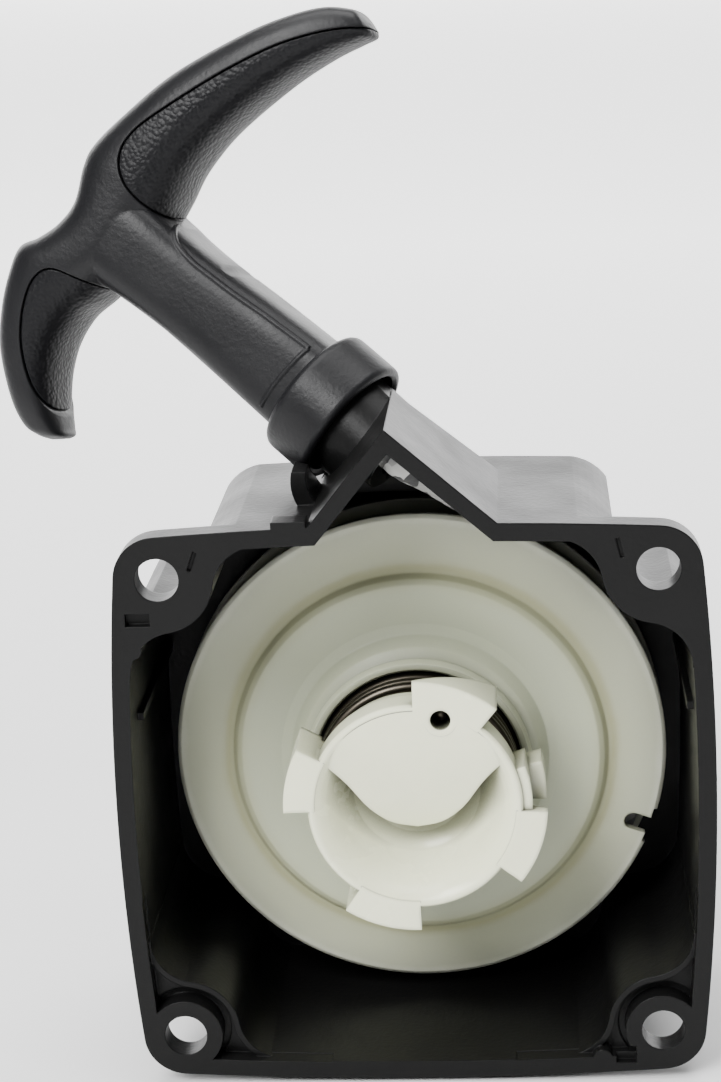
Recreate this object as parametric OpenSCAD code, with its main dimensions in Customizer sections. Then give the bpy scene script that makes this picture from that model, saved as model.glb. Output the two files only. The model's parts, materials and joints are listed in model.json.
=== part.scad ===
// Recoil starter for a small two-stroke engine.
// X runs to the right, Y runs into the depth (away from the engine), Z runs up.
// The origin is the centre of the four bolt holes, on the face that meets the engine.
// The reel, the drive cup and the recoil spring turn about the Y axis.

/* [Casing] */
// Half of the casing's width at mid height
casing_half_w = 38; // [37.5:0.1:40]
// Half of the casing's height at mid width
casing_half_h = 37.4; // [37:0.1:40]
// Depth of the casing from the mounting face to its flat back
casing_depth = 37; // [37:0.5:40]
// Thickness of the casing's walls
wall = 2.3; // [1.8:0.1:2.6]
// Thickness of the bolt ears
ear_thickness = 3.6; // [3:0.1:5]
// Outer radius of the casing's corners, about the bolt holes
corner_r = 5.5; // [5:0.1:6]

/* [Bolt pattern] */
// Distance between neighbouring bolt holes
bolt_spacing = 62; // [61:0.5:63]
// Radius of each bolt hole, for M5 bolts
bolt_hole_r = 2.75; // [2.6:0.05:2.9]

/* [Rope duct] */
// Height of the duct's ridge above the crank axis
ridge_z = 49.35; // [48:0.1:51]
// Wall of the duct's two slopes
duct_wall = 2.1; // [1.8:0.1:3]
// Angle of the pull direction above the horizontal, seen from the front
pull_angle = 38.5; // [37:0.5:41]
// Angle by which the pull direction leans away from the engine
pull_lean = 22; // [18:0.5:24]

/* [Reel] */
// Outer radius of the reel's flanges
reel_r = 32.9; // [32:0.1:33.2]
// Radius of the bottom of the rope groove
groove_r = 20.5; // [20:0.1:21]
// Radius of the plain bearing between reel and centre post
bearing_r = 5; // [4.5:0.1:5.2]
// Clearance of the running fits, on the radius
running_clearance = 0.06; // [0.03:0.01:0.09]

/* [Drive cup] */
// Outer radius of the cup's rim
cup_r = 13.7; // [13.4:0.1:13.8]
// Outer radius of the four drive lugs
lug_r = 16.8; // [16:0.1:17.5]
// Depth of the lugs behind the rim
lug_depth = 9.5; // [7:0.5:10]

/* [Rope] */
// Diameter of the starter rope
rope_d = 3.6; // [3.2:0.1:3.6]

/* [Handle] */
// Outer radius of the collar at the foot of the handle
collar_r = 9.1; // [9:0.1:9.3]
// Half thickness of the grip at its middle
grip_half_t = 8; // [7:0.1:9]

/* [Hidden] */
$fn = 96;

far = 60;                       // reach of a cut that runs out of the part
slim = 0.05;                    // overlap that joins two solids of one piece
bolt = bolt_spacing / 2;

// Casing depths, measured from the mounting face
floor_y = casing_depth - 1.2;
pot_face_y = casing_depth + 1.2;
ledge_y = 2.4;
lip_y = 1.3;
web_r = 7;
web_fillet = 6;
web_reach = 4.1;
pocket_r = 5.6;                 // room round each bolt head

// Duct: the ridge and the feet of the two slopes, in the front view
ridge_x = -2.1;
left_foot = [-12.2, 37.0];
right_foot = [11.4, 37.3];
duct_back_y = 22.5;             // back of the duct at the ridge
duct_back_slope = 0.35;         // how much further back it reaches per millimetre down

// Pull axis: the rope leaves the duct here
guide = [-6.3, 21.6, 44.3];
neck_r = 7;
neck_top = 4.4;
guide_bore_r = rope_d / 2 + 0.45;

// Reel depths
reel_face_y = 21.4;
hub_face_y = 13.9;
hub_pocket_r = 13.7;
groove_front_y = 23.2;
groove_back_y = 29.6;
reel_back_y = 30.9;
boss_r = 8.6;
post_front_y = 21.5;

// Drive cup
cup_face_y = 0.6;
cup_stem_r = 11.3;
cup_floor_y = 9.6;
cup_foot_y = 16.4;
lugs = [[89.5, 39], [181.5, 30], [271, 35], [357, 35]];  // each lug's square end and span, in degrees
lug_inner_r = cup_r - 0.85;
tang_r = 12.2;                   // where the damper spring's end comes through the rim
tang_angle = 73;

// Springs
damper_wire = 1.5;
damper_r = 12.6;
damper_front_y = 9.6;
damper_back_y = 21;
damper_turns = 7;
strip = 0.7;
strip_inner_r = 10.6;
strip_outer_r = 27.2;
strip_turns = 7;

// Rope
rope_r = rope_d / 2;
rope_sides = 8;
layer_r = 27.6;                  // outside of the rope already on the reel
run_r = layer_r + rope_r + 0.3;  // centre of the last, outermost turn
run_y = 26.4;
tail_v = 5.6;                    // where the handle's stretch of rope begins
knot_v = 30;

// Handle, in its own frame: u along the grip, v outward along the pull direction
collar_v0 = 1.2;
collar_v1 = 8.9;
collar_web_v = 5.9;
collar_gap = 0.4;                // between the collar and the duct
shaft_end_v = 36;
chamber_r = 4.6;
chamber_v = 25;
plug_v = 44.4;

function arc(r, a0, a1, n) = [for (i = [0:n]) let (a = a0 + (a1 - a0) * i / n) [r * cos(a), r * sin(a)]];
function moved(points, by) = [for (p = points) p + by];
function smooth(a, b, c, d, s) = 0.5 * (2 * b + (c - a) * s + (2 * a - 5 * b + 4 * c - d) * s * s
  + (3 * b - a - 3 * c + d) * s * s * s);
// A smooth curve through all the stations, with n steps in each span
function through(st, n) = [
  for (i = [0:len(st) - 2], k = [0:n - 1])
    smooth(st[max(i - 1, 0)], st[i], st[i + 1], st[min(i + 2, len(st) - 1)], k / n),
  st[len(st) - 1]
];

// Draws a front-view outline and gives it depth from y0 to y1
module deep(y0, y1) {
  translate([0, y1, 0]) rotate([90, 0, 0]) linear_extrude(y1 - y0) children();
}

// Turns a half section, given as [radius, y], about the crank axis
module turned(section) {
  rotate([-90, 0, 0]) rotate_extrude() polygon(section);
}

// A cylinder on the crank axis direction, from y0 to y1
module rod(r, y0, y1, x = 0, z = 0) {
  translate([x, y0, z]) rotate([-90, 0, 0]) cylinder(r = r, h = y1 - y0);
}

// Puts a shape drawn in the handle's own frame on the pull axis
module on_pull() {
  translate(guide) rotate([-pull_lean, pull_angle - 90, 0]) children();
}

function on_pull_point(p) = let (
    lean = [p.x, p.y * cos(pull_lean) + p.z * sin(pull_lean), p.z * cos(pull_lean) - p.y * sin(pull_lean)],
    a = pull_angle - 90
  ) guide + [lean.x * cos(a) + lean.z * sin(a), lean.y, lean.z * cos(a) - lean.x * sin(a)];

// Distance from the crank axis to the centre of a bowed side's arc,
// so that the arc runs smoothly into the corner circles
function bow_offset(half) = let (e = half - corner_r) (2 * bolt * bolt - e * e) / (2 * e - 2 * bolt);

// Directions in which the right-hand and the top arc meet the corner circle
corner_from = atan(bolt / (bolt + bow_offset(casing_half_w)));
corner_to = atan((bolt + bow_offset(casing_half_h)) / bolt);

function backward(points) = [for (i = [len(points) - 1:-1:0]) points[i]];
function without_last(points) = [for (i = [0:len(points) - 2]) points[i]];

// Upper right quarter of the casing's outline, moved inward by inset
function quarter(inset) = let (
    off_w = bow_offset(casing_half_w), off_h = bow_offset(casing_half_h)
  ) concat(
    moved(arc(off_w + casing_half_w - inset, 0, corner_from, 10), [-off_w, 0]),
    without_last(moved(arc(corner_r - inset, corner_from, corner_to, 12), [bolt, bolt])),
    moved(arc(off_h + casing_half_h - inset, corner_to, 90, 10), [0, -off_h]));

// The whole outline: four bowed sides that run into the corner circles
function outline(inset) = let (q = quarter(inset)) concat(
    without_last(q),
    without_last(backward([for (p = q) [-p.x, p.y]])),
    without_last([for (p = q) -p]),
    without_last(backward([for (p = q) [p.x, -p.y]])));

module at_corners() {
  for (sx = [0, 1], sz = [0, 1]) mirror([sx, 0, 0]) mirror([0, 0, sz]) translate([bolt, 0, bolt]) children();
}

// A block whose four sides bow outward, with its back edge rounded
module bowed_block(inset, y0, y1, edge) {
  intersection_for (side = [0:3]) {
    half = side % 2 == 0 ? casing_half_h : casing_half_w;
    off = bow_offset(half);
    r = off + half - inset;
    rotate([0, side * 90, 0]) translate([0, 0, -off]) rotate([-90, 0, 0])
      rotate_extrude($fn = 1440)
        polygon(concat([[0, y0], [r, y0]], moved(arc(edge, 0, 90, 6), [r - edge, y1 - edge]), [[0, y1]]));
  }
}

// Web that joins a round boss to the two walls beside it, with hollow fillets
module corner_web(boss, fillet, reach) {
  rise = reach - fillet;
  along = sqrt(pow(boss + fillet, 2) - rise * rise);
  circle(r = boss);
  for (swap = [0, 1]) mirror([swap, -swap]) difference() {
    polygon([[2, 0], [-along, rise], [-along, reach + 1.5], [2, reach + 1.5]]);
    translate([-along, rise]) circle(r = fillet);
  }
}

// The webs at the upper and lower corners; trim thins them evenly all round
module webs(trim = 0, rows = [0, 1]) {
  for (sx = [0, 1], sz = rows)
    mirror([sx, 0]) mirror([0, sz]) translate([bolt, bolt])
      corner_web(web_r - trim, web_fillet + trim, web_reach + trim);
}

// Pocket outside the casing behind each bolt ear; the casing behind it has rounded corners
module pocket_outline() {
  shoulder = moved(arc(9, 88, 31, 8), [-12.5, -2.6]);
  circle(r = pocket_r);
  polygon(concat([[-12.2, 8]], shoulder, backward([for (p = shoulder) [p.y, p.x]]), [[8, -12.2], [12, 12]]));
}

module casing_shell() {
  difference() {
    union() {
      intersection() {
        union() {
          deep(0, ear_thickness + slim) polygon(outline(0));
          deep(ear_thickness, casing_depth) difference() {
            polygon(outline(0));
            for (sx = [0, 1], sz = [0, 1])
              mirror([sx, 0]) mirror([0, sz]) translate([bolt, bolt]) pocket_outline();
          }
        }
        bowed_block(-0.4, -1, casing_depth + 0.01, 4);
      }
      turned([[0, floor_y], [27, floor_y], [27, pot_face_y - 0.8], [26.2, pot_face_y], [0, pot_face_y]]);
    }
    deep(-1, floor_y) difference() {
      polygon(outline(wall));
      webs();
    }
    lower_recess();
  }
}

// Cored-out ledge round the two lower bolt bosses, open to the front
module lower_recess() {
  difference() {
    deep(-1, ledge_y) difference() {
      intersection() {
        polygon(outline(wall - 0.1));
        lower_corners() translate([-19, -6]) square([23.7, 25]);
      }
      lower_corners() {
        circle(r = 4.8);
        translate([0, -6]) square([8, 6.8]);
        translate([0, -7]) square([5, 4]);
      }
    }
    // A thin lip stands along the edge of the cavity
    deep(lip_y, ledge_y + 1) difference() {
      webs(0, [1]);
      webs(0.8, [1]);
    }
  }
  // Deeper ring round each boss
  deep(-1, ledge_y + 0.5) intersection() {
    polygon(outline(wall - 0.15));
    lower_corners() difference() {
      circle(r = 5.7);
      circle(r = 4.8);
      translate([0, -9]) square([9, 9.8]);
      translate([-9, -9]) square([9.5, 5]);
    }
  }
}

// Draws its children at the two lower bolt holes
module lower_corners() {
  for (sx = [0, 1]) mirror([sx, 0]) translate([bolt, -bolt]) children();
}

// Solid prism with the front outline of the duct, shrunk by t
module duct_prism(t, back) {
  ridge = [ridge_x, ridge_z];
  left = ridge - left_foot;
  right = right_foot - ridge;
  left_in = [left.y, -left.x] / norm(left) * t;
  right_in = [right.y, -right.x] / norm(right) * t;
  difference() {
    deep(t > 0 ? -1 : 0, far) intersection() {
      polygon(moved([left_foot - left, ridge + left, [far, 0]], left_in));
      polygon(moved([right_foot + right, ridge - right, [-far, 0]], right_in));
    }
    translate([0, duct_back_y - back, ridge_z]) rotate([atan(duct_back_slope), 0, 0])
      translate([-far, 0, -far]) cube([2 * far, far, 2 * far]);
  }
}

// Neck that stands on the left slope and carries the rope guide
module neck() {
  on_pull() {
    translate([0, 0, -9]) cylinder(r = neck_r, h = 9 + neck_top - 0.6);
    translate([0, 0, neck_top - 0.6]) cylinder(r1 = neck_r, r2 = neck_r - 0.6, h = 0.6);
  }
}

module duct() {
  difference() {
    union() {
      duct_prism(0, 0);
      // Curved web from the casing up to the neck, behind the duct's left foot
      intersection() {
        deep(11, 21) difference() {
          translate([-8.6, 40.2]) circle(r = 6.2);
          translate([-7.2, 40.8]) circle(r = 5.6);
          translate([-8, 30]) square([20, 30]);
        }
        translate([-far, 0, 36.6]) cube([2 * far, far, 5]);
      }
    }
    below_duct();
    // Room for the collar of the handle
    on_pull() translate([0, 0, collar_v0 - collar_gap]) cylinder(r = collar_r + collar_gap, h = 20);
  }
  difference() {
    neck();
    below_duct();
    above_right_slope();
  }
}

// Everything above the duct's right slope, from just below the slope's surface
module above_right_slope() {
  translate([ridge_x, -1, ridge_z]) rotate([0, atan2(ridge_z - right_foot.y, right_foot.x - ridge_x), 0])
    translate([-far, 0, -2 * slim]) cube([2 * far, 2 * far, far]);
}

// Everything below the top wall of the casing, where the duct opens into it
module below_duct() {
  translate([-far, -1, -far]) cube([2 * far, 2 * far, far + 36.2]);
}

module centre_post() {
  difference() {
    union() {
      rod(bearing_r, post_front_y, floor_y + slim);
      turned([[0, floor_y - 0.6], [7, floor_y - 0.6], [7.6, floor_y], [7.6, floor_y + 1], [0, floor_y + 1]]);
    }
    rod(3.2, post_front_y - 1, 33.2);
  }
}

// Small details moulded on the rim and inside the walls
module rim_details() {
  for (p = [[-34.7, 21.9], [23.2, -35.0]]) rod(1.25, 0, 6, p.x, p.y);
  translate([-16.5, 0, 37]) cube([4.3, 3.4, 1]);
  for (side = [-1, 1]) translate([side * 35.6 - 0.9, 6, 10.6]) cube([1.8, 29, 1]);
}

module rim_notches() {
  translate([-35.3, -1, 25]) cube([3.1, 2.2, 1.7]);
  translate([24.9, -1, -35.6]) cube([2.6, 2.2, 2.4]);
  for (p = [[-26.5, 33.3, 20], [26.3, 33.8, -14]])
    translate([p.x, 0, p.y]) rotate([0, p.z, 0]) cube([0.5, 1.2, 2.6], center = true);
}

module housing() {
  color("#2c2c2f") difference() {
    union() {
      difference() {
        union() {
          casing_shell();
          duct();
        }
        // The duct is open to the front and into the casing
        intersection() {
          duct_prism(duct_wall, 2);
          translate([-far, -2, 30]) cube([2 * far, 2 * far, far]);
        }
      }
      centre_post();
      rim_details();
      spring_pot_wall();
    }
    at_corners() rod(bolt_hole_r, -1, ear_thickness + 1);
    rim_notches();
    on_pull() translate([0, 0, -12]) cylinder(r = 4.6, h = 30);
  }
}

// Low ring round the recoil spring, with a slot for the spring's outer hook
module spring_pot_wall() {
  difference() {
    turned([[28.6, 32], [30, 32], [30, floor_y + slim], [28.6, floor_y + slim]]);
    rotate([0, -30, 0]) translate([25, 31, -1.2]) cube([8, 3.6, 2.4]);
  }
}

module post_insert() {
  color("#b08d4f") difference() {
    rod(3.2, post_front_y, 33.2);
    rod(2, post_front_y - 1, far);
  }
}

module rope_guide() {
  color("#17171a") on_pull() rotate_extrude()
    polygon(concat([[guide_bore_r, -6], [4.6, -6], [4.6, neck_top], [5.8, neck_top], [5.8, neck_top + 0.6]],
                   moved(arc(0.6, 0, 90, 4), [5.2, neck_top + 0.4]),
                   [[guide_bore_r + 0.8, neck_top + 1], [guide_bore_r, neck_top + 0.2]]));
}

module spring_cover() {
  color("#8f9296") difference() {
    turned([[11, 31.25], [28.9, 31.25], [28.9, 31.95], [11, 31.95]]);
    for (a = [0:60:359]) rotate([0, a, 0]) rod(1.6, 30, 33, 20, 0);
  }
}

module recoil_spring() {
  steps = 40 * strip_turns;
  pitch = (strip_outer_r - strip_inner_r) / steps;
  inner = [for (i = [0:steps]) let (r = strip_inner_r + i * pitch, a = i * 9) [r * cos(a), r * sin(a)]];
  outer = [for (i = [steps:-1:0]) let (r = strip_inner_r + strip + i * pitch, a = i * 9) [r * cos(a), r * sin(a)]];
  color("#6f6a62") {
    deep(32.1, floor_y - 0.1) polygon(concat(inner, outer));
  }
}

module thrust_washer() {
  color("#b9bcc0") difference() {
    rod(6.8, post_front_y - 0.8, post_front_y);
    rod(2.2, 0, far);
  }
}

module centre_screw() {
  head_y = post_front_y - 3.2;
  color("#9a9da2") difference() {
    union() {
      turned([[0, head_y], [2.9, head_y], [3.5, head_y + 0.7], [3.5, head_y + 2.4], [0, head_y + 2.4]]);
      rod(1.98, head_y + 2, 32);
    }
    for (a = [0, 90]) rotate([0, a, 0]) translate([-2.2, head_y - 1, -0.45]) cube([4.4, 2.4, 0.9]);
  }
}

// The reel's half section: dished front face, hub, rope groove and bearing boss
module reel_section() {
  turned(concat(
    [[bearing_r + running_clearance, 21.8], [7.2, 21.8], [7.2, 17.6], [boss_r, 17.6], [boss_r, 21.9],
     [hub_pocket_r, 21.9], [hub_pocket_r, hub_face_y + 0.3], [14, hub_face_y], [14.7, hub_face_y]],
    moved(arc(1.2, 180, 270, 4) * -1, [13.9, hub_face_y + 1.2]) ,
    [[15.9, 17.4], [17.2, 18.9], [18.6, 19.3], [23.9, 19.25], [24.6, 19.7], [25.2, 20.5], [26.4, 20.8],
     [reel_r - 0.5, reel_face_y], [reel_r, reel_face_y + 0.4], [reel_r, groove_front_y - 0.6],
     [groove_r + 2, groove_front_y], [groove_r, groove_front_y + 0.8], [groove_r, groove_back_y - 0.8],
     [groove_r + 2, groove_back_y], [reel_r, groove_back_y + 0.2], [reel_r, reel_back_y],
     [9.7, reel_back_y], [9.7, 35.2], [bearing_r + running_clearance, 35.2]]));
}

module reel() {
  color("#c3c6b0") difference() {
    reel_section();
    // Rim notch that catches the rope during assembly
    rotate([0, 20.5, 0]) {
      translate([30.2, 0, -1.15]) cube([6, 26, 2.3]);
      rod(1.15, 0, 26, 30.2, 0);
      for (side = [-1, 1]) rotate([0, side * 2.6, 0]) translate([reel_r - 0.5, 0, -1]) cube([3, 26, 2]);
    }
    // Weight-saving ring behind the hub
    turned([[12.4, 24.4], [15.4, 24.4], [15.4, 32], [12.4, 32]]);
    // Knot pocket in the core
    rotate([0, 110, 0]) rod(2.6, 25.2, 32, 17.6, 0);
    // Groove for the snap ring
    turned([for (p = arc(0.55, 0, 345, 15)) p + [boss_r, 19.6]]);
  }
}

// The turns of rope on the reel, two side by side in each layer
module rope_winding() {
  color("#b9bab8") turned(concat([[groove_r + 0.05, groove_front_y + 0.85], [groove_r + 0.05, groove_back_y - 0.85]],
    moved(arc(1.4, 60, 0, 4), [layer_r - 1.4, groove_back_y - 1.7]),
    moved(arc(1.4, 0, -60, 4), [layer_r - 1.4, groove_front_y + 1.7])));
}

module reel_knot() {
  color("#b9bab8") rotate([0, 110, 0]) translate([17.6, 28.4, 0]) sphere(r = 2.4, $fn = 32);
}

// Sweeps a round tube along a path of points; up is a direction never along the path
module tube(path, r, sides, up) {
  n = len(path);
  tangent = [for (i = [0:n - 1]) let (v = path[min(i + 1, n - 1)] - path[max(i - 1, 0)]) v / norm(v)];
  side = [for (t = tangent) let (s = cross(t, up)) s / norm(s)];
  rings = [for (i = [0:n - 1], k = [0:sides - 1])
    let (a = 360 * k / sides) path[i] + r * (cos(a) * side[i] + sin(a) * cross(side[i], tangent[i]))];
  quads = [for (i = [0:n - 2], k = [0:sides - 1]) let (k2 = (k + 1) % sides)
    [i * sides + k, i * sides + k2, (i + 1) * sides + k2, (i + 1) * sides + k]];
  start_cap = [[for (k = [sides - 1:-1:0]) k]];
  end_cap = [[for (k = [0:sides - 1]) (n - 1) * sides + k]];
  polyhedron(rings, concat(quads, start_cap, end_cap), convexity = 6);
}

// The rope from the reel's outermost turn to the guide, then straight along the pull axis
leave_angle = 50;                // where the rope leaves the reel
function on_reel(a) = [run_r * cos(a), run_y, run_r * sin(a)];
rope_route = concat(
  [for (a = [leave_angle - 150:15:leave_angle]) on_reel(a)],
  [[14.2, 26.2, 27.6], [9.6, 25.4, 31.6], [5.2, 23.2, 35.2], [2.2, 21.2, 37.7],
   on_pull_point([0, 0, -7.4]), on_pull_point([0, 0, -5])]);

module rope_run() {
  color("#b9bab8") tube(concat(rope_route, [on_pull_point([0, 0, tail_v])]), rope_r, rope_sides, [0, 1, 0.2]);
}

module rope_tail() {
  color("#b9bab8") on_pull() translate([0, 0, tail_v]) cylinder(r = rope_r, h = knot_v - 3.5 - tail_v);
}

module knot_washer() {
  color("#a9acb0") on_pull() translate([0, 0, chamber_v + 0.35]) difference() {
    cylinder(r = 3.9, h = 1);
    translate([0, 0, -1]) cylinder(r = rope_r + 0.02, h = 3);
  }
}

module handle_knot() {
  color("#b9bab8") on_pull() translate([0, 0, knot_v]) {
    sphere(r = 3.4, $fn = 32);
    translate([0, 0, 1]) cylinder(r = rope_r, h = 5);
  }
}

// The damper spring: a close coil round the drive cup's stem, whose front end
// turns forward into the hole in the cup's rim
module damper_spring() {
  steps = 24 * damper_turns;
  rise = (damper_back_y - damper_front_y) / steps;
  coil = [for (i = [0:steps]) let (a = tang_angle - 25 - i * 15)
    [damper_r * cos(a), damper_front_y + i * rise, damper_r * sin(a)]];
  front = [for (p = [[0, 2.6, tang_r], [0, 6.2, tang_r], [8, 8.8, tang_r + 0.2], [17, 9.5, damper_r]])
    [p.z * cos(tang_angle - p.x), p.y, p.z * sin(tang_angle - p.x)]];
  color("#6b5a48") tube(concat(front, coil), damper_wire / 2, 8, [0.05, 1, 0.03]);
}

module cup_clip() {
  color("#8d9094") difference() {
    turned([for (p = arc(0.5, 0, 345, 15)) p + [boss_r, 19.6]]);
    rotate([0, -135, 0]) translate([0, 18, -1]) cube([12, 4, 2]);
  }
}

// One ratchet lug: square at its leading end, sloping away at the other
module lug(end_angle, span) {
  rotate([0, -end_angle, 0]) difference() {
    deep(cup_face_y - 0.5, cup_face_y + lug_depth) intersection() {
      difference() {
        circle(r = lug_r);
        circle(r = lug_inner_r);
      }
      polygon([[0, 0], [far, 0], [far, -far * tan(span)]]);
    }
    // The lug thins towards its trailing end
    rotate([0, span, 0]) translate([0, cup_face_y + lug_depth, 0])
      rotate([38, 0, 0]) translate([0, -0.5, -far]) cube([far, far, 2 * far]);
  }
}

// A low step beyond the right-hand lug, as far round as the given angle
module step(r, y0, y1, angle) {
  deep(y0, y1) intersection() {
    difference() {
      circle(r = r);
      circle(r = cup_r - 1);
    }
    polygon([[0, 0], [far, -3], [far, far * tan(angle)]]);
  }
}

// Raised web in the cup that slopes away from the rim beside the spring hole
// and ends in a U-shaped edge above the deepest part of the bowl
module plateau() {
  edge = [[12.5, 6.8], [10.6, 5], [8.5, 2.6], [6, -1.2], [3.2, -3.65], [0, -4.5]];
  slope = [for (z = [11.2:-1.6:-4.8]) [cup_face_y + 0.02 * pow(11.2 - z, 2), z]];
  intersection() {
    deep(cup_face_y, cup_floor_y + 1) intersection() {
      circle(r = 12.9);
      polygon(concat([[-12.5, 14], [12.5, 14]], through(edge, 4),
                     backward([for (p = through(edge, 4)) if (p.x > 0) [-p.x, p.y]])));
    }
    rotate([90, 0, 90]) linear_extrude(2 * far, center = true)
      polygon(concat([[cup_face_y, 13], [20, 13], [20, -5.4]], backward(concat(slope, [[7.2, -5.4]]))));
  }
}

module drive_cup() {
  color("#e9eadb") difference() {
    union() {
      turned(concat(
        [[0, cup_floor_y], [4.4, cup_floor_y - 0.3], [6.4, cup_floor_y - 1.1], [8.2, cup_floor_y - 2.6],
         [9.9, cup_floor_y - 5], [10.7, 3.3], [11.4, 2.2], [12.1, 1.35], [12.7, 0.8], [13.1, cup_face_y],
         [cup_r - 0.3, cup_face_y], [cup_r, cup_face_y + 0.3], [cup_r, 5], [12.7, 5.6],
         [cup_stem_r, 8.4], [cup_stem_r - 0.2, cup_foot_y], [10.1, cup_foot_y], [10.1, 21.4],
         [boss_r + running_clearance, 21.4], [boss_r + running_clearance, cup_floor_y + 1.5], [0, cup_floor_y + 1.5]]));
      plateau();
      for (l = lugs) lug(l[0], l[1]);
      step(14.9, 1.2, 8, 20);
      step(lug_r - 0.1, 5, cup_face_y + lug_depth - 0.3, 15);
      // Pad round the spring hole
      rotate([0, -tang_angle, 0]) rod(2.1, cup_face_y, 5.4, tang_r, 0);
    }
    rotate([0, -tang_angle, 0]) rod(1.3, -1, 9.1, tang_r, 0);
    for (a = [5, 10, 15]) rotate([0, a - tang_angle, 0]) rod(1.4, 6.1, 9.3, tang_r + 0.2, 0);
    // Room for the damper spring between the lugs and the stem
    turned([[cup_stem_r, 8.45], [13.8, 8.1], [13.8, 12], [cup_stem_r, 12]]);
    // Room for the snap ring
    turned([for (p = arc(0.85, 0, 345, 15)) p + [boss_r, 19.6]]);
    translate([-far, -far, -far]) cube([2 * far, far + cup_face_y, 2 * far]);
  }
}

// Grip stations from the long arm's tip to the short arm's tip:
// [outer edge u, v, inner edge u, v, half thickness]
grip_stations = [
  [42.0, 33.4, 41.3, 30.8, 1.6], [41.9, 34.7, 40.5, 30.3, 3.4], [39.8, 38.0, 38.7, 31.4, 4.6],
  [35.9, 41.3, 34.7, 33.7, 5.6], [30.3, 44.8, 28.4, 36.3, 6.4], [20.9, 49.3, 19.2, 38.8, 7.2],
  [12.1, 51.7, 12.6, 39.3, 7.8], [6.7, 52.7, 7.9, 38.5, grip_half_t], [3.7, 52.2, 4.5, 38.1, grip_half_t],
  [-0.7, 50.2, -0.2, 37.9, grip_half_t], [-4.5, 50.3, -4.1, 38.1, grip_half_t],
  [-7.9, 51.6, -6.7, 38.8, grip_half_t], [-10.5, 53.1, -9.7, 39.5, 7.9], [-13.9, 52.3, -13.3, 40.4, 7.6],
  [-18.6, 50.2, -17.4, 40.0, 7.1], [-23.3, 46.9, -21.2, 38.3, 6.5], [-27.6, 41.7, -24.5, 35.7, 5.6],
  [-29.5, 38.1, -26.3, 33.5, 4.4], [-29.5, 35.7, -26.9, 32.5, 3.2], [-29.0, 34.1, -27.5, 32.5, 1.5]
];

function blunt(x) = sign(x) * pow(abs(x), 0.75);

// Lofts rounded sections along the grip; k shrinks the sections
module grip_loft(k = 1) {
  st = through(grip_stations, 2);
  n = len(st);
  sides = 24;
  rings = [for (s = st, j = [0:sides - 1])
    let (a = 360 * j / sides, c = k * blunt(cos(a)) / 2)
      [(s[0] + s[2]) / 2 + (s[2] - s[0]) * c, s[4] * k * blunt(sin(a)), (s[1] + s[3]) / 2 + (s[3] - s[1]) * c]];
  quads = [for (i = [0:n - 2], j = [0:sides - 1]) let (j2 = (j + 1) % sides)
    [i * sides + j, i * sides + j2, (i + 1) * sides + j2, (i + 1) * sides + j]];
  caps = [[for (j = [sides - 1:-1:0]) j], [for (j = [0:sides - 1]) (n - 1) * sides + j]];
  polyhedron(rings, concat(quads, caps), convexity = 6);
}

// Outline of the soft insert in each arm, seen from the front, as [u, v]
upper_insert = [[43, 26], [40.6, 31.8], [34, 37.6], [26.4, 41.8], [17.8, 45.4], [12.3, 47.2], [8.7, 46.8],
                [6.3, 44.2], [5.4, 40], [5.6, 36.4], [7.6, 32.6], [8, 24]];
lower_insert = [[-25.4, 24], [-25.8, 30.4], [-25.2, 35.1], [-23.4, 39.3], [-20, 43.2], [-16.1, 45.7], [-12, 46.8],
                [-9.2, 45.6], [-7.8, 41.5], [-7, 36.5], [-7.4, 24]];

module insert_block(outline) {
  rotate([90, 0, 0]) linear_extrude(2 * far, center = true) polygon(outline);
}

// Core of the handle body that the soft inserts are moulded over
module grip_core() {
  intersection() {
    grip_loft(0.55);
    translate([-22, -far, 0]) cube([57, 2 * far, far]);
  }
}

module grip_insert(outline) {
  difference() {
    intersection() {
      grip_loft();
      insert_block(outline);
    }
    grip_core();
  }
}

module grip_upper() {
  color("#232326") on_pull() grip_insert(upper_insert);
}

module grip_lower() {
  color("#232326") on_pull() grip_insert(lower_insert);
}

// Shaft with rounded edges, a little wider at the collar and deeper at the grip
module shaft() {
  hull() {
    for (su = [-1, 1], sy = [-1, 1]) {
      translate([su * 4.1, sy * 3.6, collar_v1]) cylinder(r = 2.6, h = 0.5, $fn = 32);
      translate([su * 3.1 - 0.5, sy * 5, shaft_end_v]) cylinder(r = 2.6, h = 5, $fn = 32);
    }
  }
}

module handle_body() {
  color("#2a2a2d") on_pull() difference() {
    union() {
      difference() {
        union() {
          grip_loft();
          shaft();
        }
        insert_block(upper_insert);
        insert_block(lower_insert);
      }
      grip_core();
      translate([0, 0, collar_web_v]) cylinder(r = 4.5, h = 5);
    }
    translate([0, 0, -1]) cylinder(r = rope_r + 0.4, h = far);
    translate([0, 0, chamber_v]) cylinder(r = chamber_r, h = far);
  }
}

module handle_collar() {
  color("#1d1d20") on_pull() rotate_extrude()
    polygon(concat([[4.5, collar_web_v], [7.8, collar_web_v], [7.8, collar_v0 + 0.4], [8.2, collar_v0]],
                   moved(arc(0.8, -90, 0, 4), [collar_r - 0.8, collar_v0 + 0.8]),
                   moved(arc(1.2, 0, 90, 4), [collar_r - 1.2, collar_v1 - 1.2]),
                   [[4.5, collar_v1]]));
}

module handle_plug() {
  color("#1d1d20") on_pull() translate([0, 0, plug_v]) cylinder(r = chamber_r - 0.02, h = 5);
}

housing();
post_insert();
rope_guide();
spring_cover();
recoil_spring();
thrust_washer();
centre_screw();
rope_run();
reel();
rope_winding();
reel_knot();
damper_spring();
cup_clip();
drive_cup();
rope_tail();
knot_washer();
handle_knot();
handle_body();
grip_upper();
grip_lower();
handle_collar();
handle_plug();
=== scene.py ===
import json
import math

import bmesh
import bpy
import numpy as np
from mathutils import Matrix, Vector
from mathutils.bvhtree import BVHTree


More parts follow.
